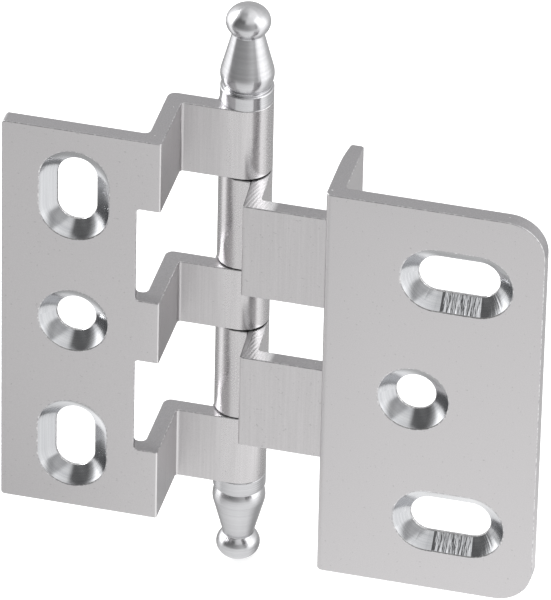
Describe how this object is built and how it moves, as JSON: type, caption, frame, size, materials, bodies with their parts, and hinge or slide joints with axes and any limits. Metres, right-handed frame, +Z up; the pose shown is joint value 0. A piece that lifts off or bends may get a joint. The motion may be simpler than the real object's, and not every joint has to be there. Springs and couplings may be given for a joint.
{
  "type": "butt hinge",
  "caption": "Cranked butt hinge: countersunk leaves, one wrapping a door's edge, rolled knuckles and turned ball finials on a fixed pin.",
  "frame": {"origin": "axis of the frame leaf's middle screw hole, on the back face that lies against the frame", "axes": "+X from the frame leaf to the door leaf, +Y from the screw heads into what the leaves are screwed to, +Z up along the pin"},
  "size_m": [0.0865, 0.0268, 0.1032],
  "materials": {
    "leaf_steel": "dull satin chrome plate",
    "pin_steel": "drawn wire",
    "finial_chrome": "turned and polished, chrome plate"
  },
  "bodies": {
    "frame": {"frame_leaf": "leaf_steel", "hinge_pin": "pin_steel", "top_finial": "finial_chrome", "bottom_finial": "finial_chrome"},
    "door": {"door_leaf": "leaf_steel"}
  },
  "joints": [
    {"name": "leaf_hinge", "type": "hinge", "parent": "frame", "child": "door", "pos_m": [0.02295, 0.0137, 0], "axis": [0, 0, 1], "range_deg": [-90, 180]}
  ]
}
